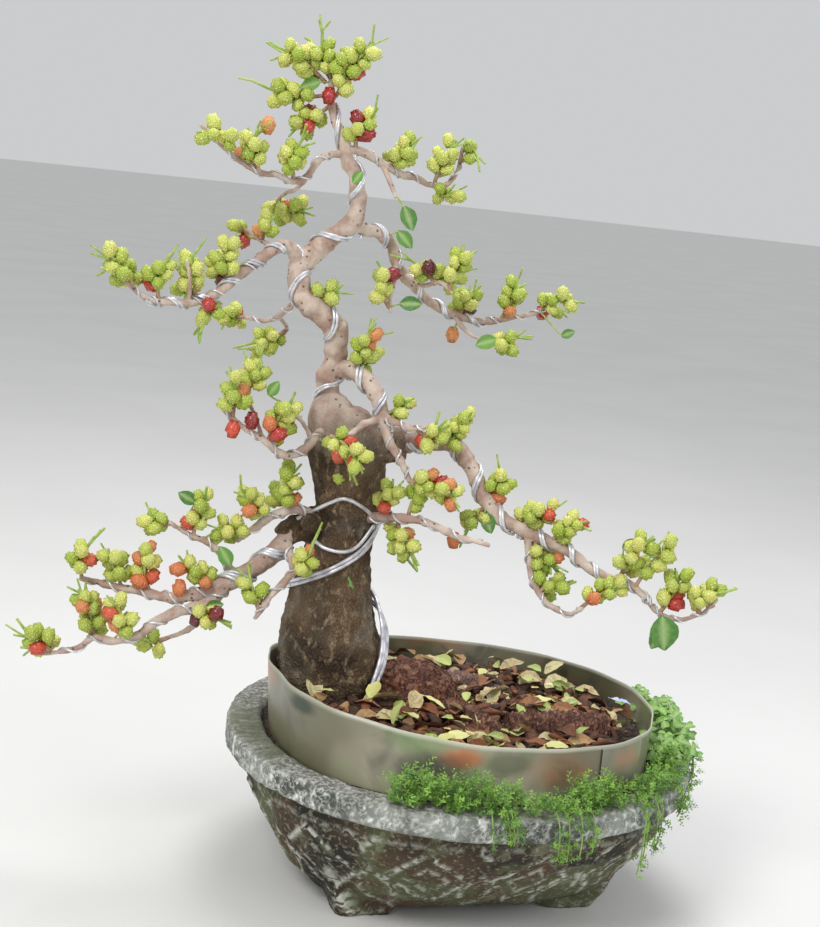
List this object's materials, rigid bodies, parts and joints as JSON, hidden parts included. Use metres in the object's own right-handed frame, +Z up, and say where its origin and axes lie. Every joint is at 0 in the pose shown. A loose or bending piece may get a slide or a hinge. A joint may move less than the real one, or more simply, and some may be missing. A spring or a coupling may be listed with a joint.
{
  "type": "potted bonsai tree",
  "caption": "Leafless, fruiting mulberry bonsai with wired limbs and a thick trunk, set in soil held by a sheet collar in a footed oval cast-cement pot with weeds on its rim.",
  "frame": {"origin": "middle of the base of the bounding box, level with the undersides of the pot's feet", "axes": "+Z up, -Y towards the side from which the tree is viewed, +X to the viewer's right"},
  "size_m": [0.539, 0.3816, 0.6919],
  "materials": {
    "weathered_cement": "hammered cast cement, white-veined grey-green rim, brown and black stained bowl with pale green algae",
    "rough_bark": "dark, fissured bark, paler and smoother above",
    "pale_bark": "pinkish grey-brown bark with pale lenticels",
    "potting_soil": "dark crumbly soil with bark chips and dry leaves",
    "collar_sheet": "dull olive-beige sheet with blurred stains",
    "root_brown": "reddish fibrous roots",
    "aluminium_wire": "soft satin training wire",
    "unripe_fruit": "yellow-green berries of many small drupelets, some peach, red and dark red",
    "weed_green": "small fresh green leaves",
    "leaf_green": "dark green leaf",
    "dry_leaf": "dry yellow leaf",
    "drain_plastic": "black plastic mesh"
  },
  "bodies": {
    "root": {"clover_patch": "weed_green", "drain_mesh_left": "drain_plastic", "drain_mesh_right": "drain_plastic", "fallen_leaf_yellow": "dry_leaf", "fruit_apex_crown": "unripe_fruit", "fruit_apex_left": "unripe_fruit", "fruit_apex_right": "unripe_fruit", "fruit_back_left": "unripe_fruit", "fruit_centre_left": "unripe_fruit", "fruit_centre_right": "unripe_fruit", "fruit_left_centre": "unripe_fruit", "fruit_left_low_far": "unripe_fruit", "fruit_left_low_near": "unripe_fruit", "fruit_left_middle": "unripe_fruit", "fruit_left_middle_tip": "unripe_fruit", "fruit_right_droop": "unripe_fruit", "fruit_right_inner": "unripe_fruit", "fruit_right_lower": "unripe_fruit", "fruit_right_middle": "unripe_fruit", "fruit_right_middle_tip": "unripe_fruit", "fruit_right_small": "unripe_fruit", "fruit_right_tip": "unripe_fruit", "fruit_right_upper": "unripe_fruit", "fruit_trunk_front": "unripe_fruit", "fruit_upper_left": "unripe_fruit", "fruit_upper_right_tip": "unripe_fruit", "leaf_right_tip": "leaf_green", "limb_back_left": "pale_bark", "limb_left_centre": "pale_bark", "limb_left_low": "pale_bark", "limb_left_lower": "pale_bark", "limb_left_middle": "pale_bark", "limb_right_low": "pale_bark", "limb_right_lower": "pale_bark", "limb_right_middle": "pale_bark", "limb_right_pale": "pale_bark", "limb_upper_left": "pale_bark", "limb_upper_right": "pale_bark", "pot": "weathered_cement", "root_back": "root_brown", "root_front": "root_brown", "root_log": "root_brown", "root_mound": "root_brown", "soil": "potting_soil", "soil_collar": "collar_sheet", "trunk": "rough_bark", "weed_mat": "weed_green", "weed_strand": "weed_green", "wire_left_low_a": "aluminium_wire", "wire_left_low_b": "aluminium_wire", "wire_left_middle": "aluminium_wire", "wire_right_low": "aluminium_wire", "wire_right_middle": "aluminium_wire", "wire_right_pale_a": "aluminium_wire", "wire_right_pale_b": "aluminium_wire", "wire_trunk_long": "aluminium_wire", "wire_trunk_second": "aluminium_wire", "wire_trunk_short": "aluminium_wire", "wire_upper_trunk": "aluminium_wire"}
  },
  "joints": []
}
